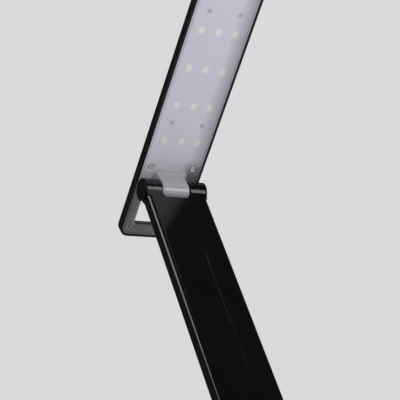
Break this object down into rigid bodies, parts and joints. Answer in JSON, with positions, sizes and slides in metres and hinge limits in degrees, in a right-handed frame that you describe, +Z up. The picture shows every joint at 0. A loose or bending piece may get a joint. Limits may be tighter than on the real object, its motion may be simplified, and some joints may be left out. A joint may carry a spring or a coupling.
{
  "type": "folding led desk lamp",
  "caption": "Folding desk lamp: flat weighted base, black arm and slim lamp head with a frosted light panel and a handle loop, on two friction hinges.",
  "frame": {"origin": "on the desk plane, at the middle of the base's silicone pad", "axes": "+Z up from the desk, X along both hinge pins, -Y towards the user, who sees the light panel and the buttons"},
  "size_m": [0.1, 0.2198, 0.3922],
  "materials": {
    "pad_silicone": "matte dark grey silicone with a fine dimple texture",
    "base_plastic": "black ABS with a fine satin spark texture",
    "ballast_steel": "zinc-plated flat steel",
    "screw_steel": "nickel-plated steel, bright",
    "black_screw_steel": "black-oxide steel",
    "small_screw_steel": "dull zinc-plated steel",
    "battery_wrap": "pale blue shrink film",
    "foam_tape": "white foam tape",
    "circuit_board": "green solder mask",
    "socket_steel": "drawn stainless steel",
    "switch_plastic": "pale grey switch housings",
    "button_plastic": "dark grey satin caps",
    "light_pipe": "clear acrylic, frosted end",
    "pin_steel": "ground steel",
    "cap_plastic": "black, semi-gloss",
    "lead_sleeve": "red silicone wire sleeve",
    "arm_plastic": "black ABS, smooth semi-gloss moulding",
    "washer_brass": "brass, greased",
    "head_plastic": "black ABS, satin",
    "frosted_cover": "frosted polycarbonate, cool white, satin front",
    "white_board": "white solder mask on an aluminium core",
    "led_phosphor": "warm yellow phosphor, unlit",
    "bracket_zinc": "die-cast zinc, as cast"
  },
  "bodies": {
    "base": {"foot_pad": "pad_silicone", "base_bottom_cover": "base_plastic", "base_top_housing": "base_plastic", "ballast_plate": "ballast_steel", "ballast_screws": "screw_steel", "battery_pack": "battery_wrap", "battery_tape": "foam_tape", "main_board": "circuit_board", "charging_board": "circuit_board", "charging_socket": "socket_steel", "circuit_board_screws": "screw_steel", "tact_switches": "switch_plastic", "charge_light_pipe": "light_pipe", "base_screws": "screw_steel", "base_hinge_pin": "pin_steel", "base_hinge_caps": "cap_plastic", "base_lead": "lead_sleeve"},
    "arm": {"arm_front_shell": "arm_plastic", "arm_back_cover": "arm_plastic", "arm_screws": "black_screw_steel", "arm_stiffener": "pin_steel", "arm_lead": "lead_sleeve", "base_hinge_washers": "washer_brass", "head_hinge_pin": "pin_steel", "head_hinge_washers": "washer_brass", "head_hinge_caps": "cap_plastic"},
    "lamp_head": {"head_back_shell": "head_plastic", "front_cover": "frosted_cover", "led_board": "white_board", "led_chips": "led_phosphor", "led_board_screws": "small_screw_steel", "cover_screws": "screw_steel", "handle_screws": "screw_steel", "hinge_bracket": "bracket_zinc", "bracket_screws": "screw_steel", "head_lead": "lead_sleeve"},
    "power_key": {"power_button": "button_plastic"},
    "brighter_key": {"brighter_button": "button_plastic"},
    "dimmer_key": {"dimmer_button": "button_plastic"}
  },
  "joints": [
    {"name": "arm_hinge", "type": "hinge", "parent": "base", "child": "arm", "pos_m": [0, -0.06784, 0.0275], "axis": [1, 0, 0], "range_deg": [-52.5, 37.5]},
    {"name": "head_hinge", "type": "hinge", "parent": "arm", "child": "lamp_head", "pos_m": [0, 0.07218, 0.20997], "axis": [1, 0, 0], "range_deg": [-79.9, 100.1]},
    {"name": "power_press", "type": "slide", "parent": "base", "child": "power_key", "axis": [0, 0, -1], "range_m": [0, 0.0006], "stiffness_N_per_m": 400, "springref_m": -0.001},
    {"name": "brighter_press", "type": "slide", "parent": "base", "child": "brighter_key", "axis": [0, 0, -1], "range_m": [0, 0.0006], "stiffness_N_per_m": 400, "springref_m": -0.001},
    {"name": "dimmer_press", "type": "slide", "parent": "base", "child": "dimmer_key", "axis": [0, 0, -1], "range_m": [0, 0.0006], "stiffness_N_per_m": 400, "springref_m": -0.001}
  ]
}
